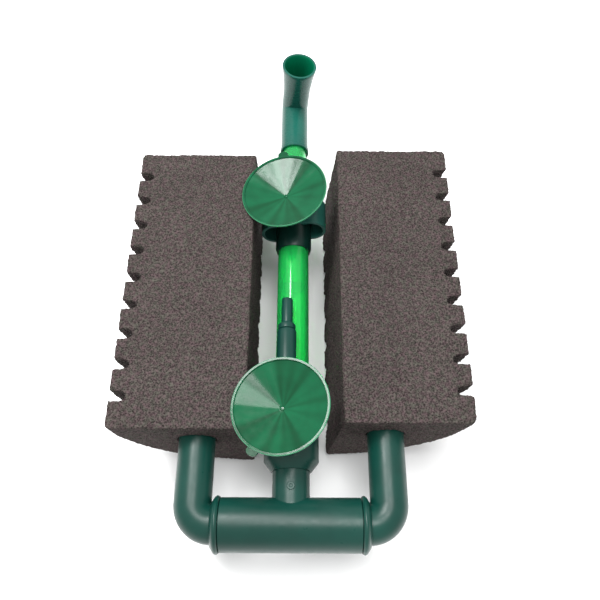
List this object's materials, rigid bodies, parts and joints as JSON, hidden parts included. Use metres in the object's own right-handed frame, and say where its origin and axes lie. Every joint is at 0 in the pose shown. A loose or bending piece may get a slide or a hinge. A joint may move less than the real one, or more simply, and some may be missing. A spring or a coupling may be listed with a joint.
{
  "type": "sponge filter",
  "caption": "Air-driven aquarium filter: foam sponges on jointed pipe arms, riser with air inlet, telescopic outlet elbow and suction cups.",
  "frame": {"origin": "centre of the outline at the lowest edge of the sponges, as the filter lies on a table", "axes": "+Z up, the way the suction cups face; +Y along the riser from the manifold to the outlet; +X to the right. In a tank +Y is up and +Z faces the glass"},
  "size_m": [0.1624, 0.2602, 0.0734],
  "materials": {
    "manifold_tee": "satin moulded",
    "manifold_cap_left": "satin moulded",
    "manifold_cap_right": "satin moulded",
    "left_elbow": "satin moulded",
    "right_elbow": "satin moulded",
    "left_strainer": "satin moulded",
    "left_strainer_cap": "satin moulded",
    "right_strainer": "satin moulded",
    "right_strainer_cap": "satin moulded",
    "left_sponge": "open-cell foam",
    "right_sponge": "open-cell foam",
    "air_chamber": "satin moulded",
    "air_diffuser": "satin moulded",
    "air_inlet_pipe": "satin moulded",
    "airline_nipple": "satin moulded",
    "riser_tube": "clear, tinted green",
    "bracket_collar": "satin moulded",
    "telescope_seal": "matt",
    "inner_tube": "clear, tinted green",
    "outlet_elbow": "satin moulded",
    "lower_suction_cup": "glossy, slightly see-through",
    "upper_suction_cup": "glossy, slightly see-through"
  },
  "bodies": {
    "manifold": {"manifold_tee": "manifold_tee", "manifold_cap_left": "manifold_cap_left", "manifold_cap_right": "manifold_cap_right"},
    "left_arm": {"left_elbow": "left_elbow"},
    "right_arm": {"right_elbow": "right_elbow"},
    "left_core": {"left_strainer": "left_strainer", "left_strainer_cap": "left_strainer_cap"},
    "right_core": {"right_strainer": "right_strainer", "right_strainer_cap": "right_strainer_cap"},
    "left_sponge": {"left_sponge": "left_sponge"},
    "right_sponge": {"right_sponge": "right_sponge"},
    "riser": {"air_chamber": "air_chamber", "air_diffuser": "air_diffuser", "air_inlet_pipe": "air_inlet_pipe", "airline_nipple": "airline_nipple", "riser_tube": "riser_tube"},
    "bracket": {"bracket_collar": "bracket_collar", "telescope_seal": "telescope_seal"},
    "telescope": {"inner_tube": "inner_tube"},
    "outlet": {"outlet_elbow": "outlet_elbow"},
    "lower_cup": {"lower_suction_cup": "lower_suction_cup"},
    "upper_cup": {"upper_suction_cup": "upper_suction_cup"}
  },
  "joints": [
    {"name": "left_arm_swing", "type": "hinge", "parent": "manifold", "child": "left_arm", "pos_m": [0, -0.118, 0.0407], "axis": [1, 0, 0], "range_deg": [-90, 0]},
    {"name": "right_arm_swing", "type": "hinge", "parent": "manifold", "child": "right_arm", "pos_m": [0, -0.118, 0.0407], "axis": [1, 0, 0], "range_deg": [-90, 0]},
    {"name": "left_core_turn", "type": "hinge", "parent": "left_arm", "child": "left_core", "pos_m": [-0.043, -0.06, 0.0407], "axis": [0, 1, 0], "range_deg": [0, 8]},
    {"name": "right_core_turn", "type": "hinge", "parent": "right_arm", "child": "right_core", "pos_m": [0.043, -0.06, 0.0407], "axis": [0, 1, 0], "range_deg": [-8, 0]},
    {"name": "left_sponge_slide", "type": "slide", "parent": "left_core", "child": "left_sponge", "axis": [0, 1, 0], "range_m": [0, 0.145]},
    {"name": "right_sponge_slide", "type": "slide", "parent": "right_core", "child": "right_sponge", "axis": [0, 1, 0], "range_m": [0, 0.145]},
    {"name": "riser_turn", "type": "hinge", "parent": "manifold", "child": "riser", "pos_m": [0, -0.09, 0.0407], "axis": [0, 1, 0], "range_deg": [0, 10.8]},
    {"name": "bracket_turn", "type": "hinge", "parent": "riser", "child": "bracket", "pos_m": [0, 0.025, 0.0407], "axis": [0, 1, 0], "range_deg": [0, 8]},
    {"name": "telescope_slide", "type": "slide", "parent": "bracket", "child": "telescope", "axis": [0, 1, 0], "range_m": [-0.03, 0.03]},
    {"name": "outlet_turn", "type": "hinge", "parent": "telescope", "child": "outlet", "pos_m": [0, 0.086, 0.0407], "axis": [0, 1, 0], "continuous": true},
    {"name": "lower_cup_turn", "type": "hinge", "parent": "riser", "child": "lower_cup", "pos_m": [0, -0.0723, 0.0407], "axis": [-0.1874, 0, 0.9823], "continuous": true},
    {"name": "upper_cup_turn", "type": "hinge", "parent": "bracket", "child": "upper_cup", "pos_m": [0, 0.0408, 0.0407], "axis": [-0.1874, 0, 0.9823], "continuous": true}
  ]
}
